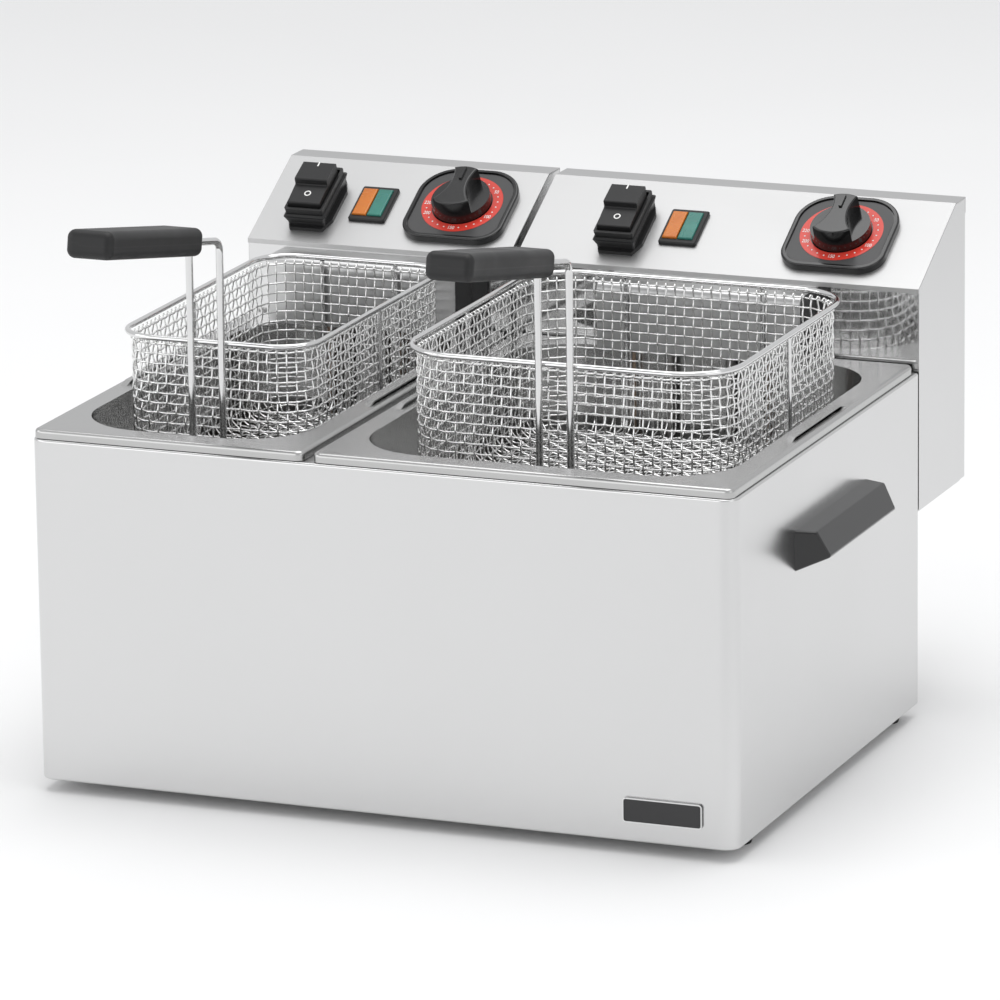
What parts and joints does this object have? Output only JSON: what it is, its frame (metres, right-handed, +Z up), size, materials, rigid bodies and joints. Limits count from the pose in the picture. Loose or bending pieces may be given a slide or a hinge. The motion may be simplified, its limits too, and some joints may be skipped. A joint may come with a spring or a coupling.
{
  "type": "deep fryer",
  "caption": "Countertop electric deep fryer with two drop-in pans, lift-off control heads, wire baskets with upright handles, dials, rockers and lamps.",
  "frame": {"origin": "middle of the casing's footprint on the bench, which is the middle of the whole object's base within 4 mm", "axes": "+X to the operator's right, +Y to the back where the control heads stand, +Z up"},
  "size_m": [0.4912, 0.5355, 0.3794],
  "materials": {
    "brushed_steel": "brushed stainless sheet, long fine grain",
    "polished_steel": "mirror-polished stainless sheet",
    "pan_steel": "satin deep-drawn stainless",
    "wire_steel": "bright plated wire",
    "mesh_steel": "bright woven wire",
    "element_steel": "dull heater sheath",
    "bulb_copper": "nickel-plated copper, dull",
    "black_plastic": "fine-grained moulded black plastic",
    "black_gloss": "smooth moulded black plastic",
    "grip_black": "heat-proof moulded grip",
    "rubber_black": "matt rubber",
    "dial_red": "printed scale ring",
    "lens_amber": "translucent amber",
    "lens_green": "translucent green",
    "badge_black": "blank plate, bright border",
    "control_grey": "moulded control body",
    "zinc": "zinc-plated screw"
  },
  "bodies": {
    "casing_body": {"casing": "brushed_steel", "base_plate": "brushed_steel", "back_panel": "brushed_steel", "divider_rail": "brushed_steel", "feet": "rubber_black", "carry_handle_right": "black_gloss", "carry_handle_left": "black_gloss", "badge": "badge_black"},
    "pan_body_left": {"pan_left": "pan_steel"},
    "head_body_left": {"head_cover_left": "brushed_steel", "head_shell_left": "brushed_steel", "head_front_left": "polished_steel", "head_bottom_left": "brushed_steel", "element_box_left": "polished_steel", "box_caps_left": "black_plastic", "heating_element_left": "element_steel", "sensor_bulbs_left": "bulb_copper", "thermostat_left": "control_grey", "safety_cutout_left": "control_grey", "cable_gland_left": "black_plastic", "head_screws_left": "zinc", "dial_bezel_left": "black_gloss", "dial_ring_left": "dial_red", "switch_housing_left": "black_plastic", "lamp_frame_left": "black_plastic", "lamp_amber_left": "lens_amber", "lamp_green_left": "lens_green"},
    "knob_body_left": {"knob_left": "black_gloss"},
    "rocker_body_left": {"rocker_left": "black_plastic"},
    "reset_body_left": {"reset_button_left": "black_plastic"},
    "basket_body_left": {"basket_mesh_left": "mesh_steel", "basket_frame_left": "wire_steel", "grip_upper_left": "grip_black", "grip_lower_left": "grip_black"},
    "pan_body_right": {"pan_right": "pan_steel"},
    "head_body_right": {"head_cover_right": "brushed_steel", "head_shell_right": "brushed_steel", "head_front_right": "polished_steel", "head_bottom_right": "brushed_steel", "element_box_right": "polished_steel", "box_caps_right": "black_plastic", "heating_element_right": "element_steel", "sensor_bulbs_right": "bulb_copper", "thermostat_right": "control_grey", "safety_cutout_right": "control_grey", "cable_gland_right": "black_plastic", "head_screws_right": "zinc", "dial_bezel_right": "black_gloss", "dial_ring_right": "dial_red", "switch_housing_right": "black_plastic", "lamp_frame_right": "black_plastic", "lamp_amber_right": "lens_amber", "lamp_green_right": "lens_green"},
    "knob_body_right": {"knob_right": "black_gloss"},
    "rocker_body_right": {"rocker_right": "black_plastic"},
    "reset_body_right": {"reset_button_right": "black_plastic"},
    "basket_body_right": {"basket_mesh_right": "mesh_steel", "basket_frame_right": "wire_steel", "grip_upper_right": "grip_black", "grip_lower_right": "grip_black"}
  },
  "joints": [
    {"name": "pan_lift_left", "type": "slide", "parent": "casing_body", "child": "pan_body_left", "axis": [0, 0, 1], "range_m": [0, 0.16]},
    {"name": "head_lift_left", "type": "slide", "parent": "pan_body_left", "child": "head_body_left", "axis": [0, 0, 1], "range_m": [0, 0.15]},
    {"name": "basket_lift_left", "type": "slide", "parent": "head_body_left", "child": "basket_body_left", "axis": [0, 0, 1], "range_m": [-0.0562, 0.125]},
    {"name": "knob_turn_left", "type": "hinge", "parent": "head_body_left", "child": "knob_body_left", "pos_m": [-0.0919, 0.20292, 0.29423], "axis": [0, 0.4801, -0.8772], "range_deg": [0, 300]},
    {"name": "rocker_tip_left", "type": "hinge", "parent": "head_body_left", "child": "rocker_body_left", "pos_m": [-0.189, 0.19038, 0.30048], "axis": [-1, 0, 0], "range_deg": [0, 16]},
    {"name": "reset_push_left", "type": "slide", "parent": "head_body_left", "child": "reset_body_left", "axis": [0, -1, 0], "range_m": [0, 0.002], "stiffness_N_per_m": 400, "springref_m": -0.001},
    {"name": "pan_lift_right", "type": "slide", "parent": "casing_body", "child": "pan_body_right", "axis": [0, 0, 1], "range_m": [0, 0.16]},
    {"name": "head_lift_right", "type": "slide", "parent": "pan_body_right", "child": "head_body_right", "axis": [0, 0, 1], "range_m": [0, 0.15]},
    {"name": "basket_lift_right", "type": "slide", "parent": "head_body_right", "child": "basket_body_right", "axis": [0, 0, 1], "range_m": [-0.0597, 0.125]},
    {"name": "knob_turn_right", "type": "hinge", "parent": "head_body_right", "child": "knob_body_right", "pos_m": [0.1629, 0.20292, 0.29423], "axis": [0, 0.4801, -0.8772], "range_deg": [0, 300]},
    {"name": "rocker_tip_right", "type": "hinge", "parent": "head_body_right", "child": "rocker_body_right", "pos_m": [0.02191, 0.19038, 0.30048], "axis": [-1, 0, 0], "range_deg": [0, 16]},
    {"name": "reset_push_right", "type": "slide", "parent": "head_body_right", "child": "reset_body_right", "axis": [0, -1, 0], "range_m": [0, 0.002], "stiffness_N_per_m": 400, "springref_m": -0.001}
  ]
}
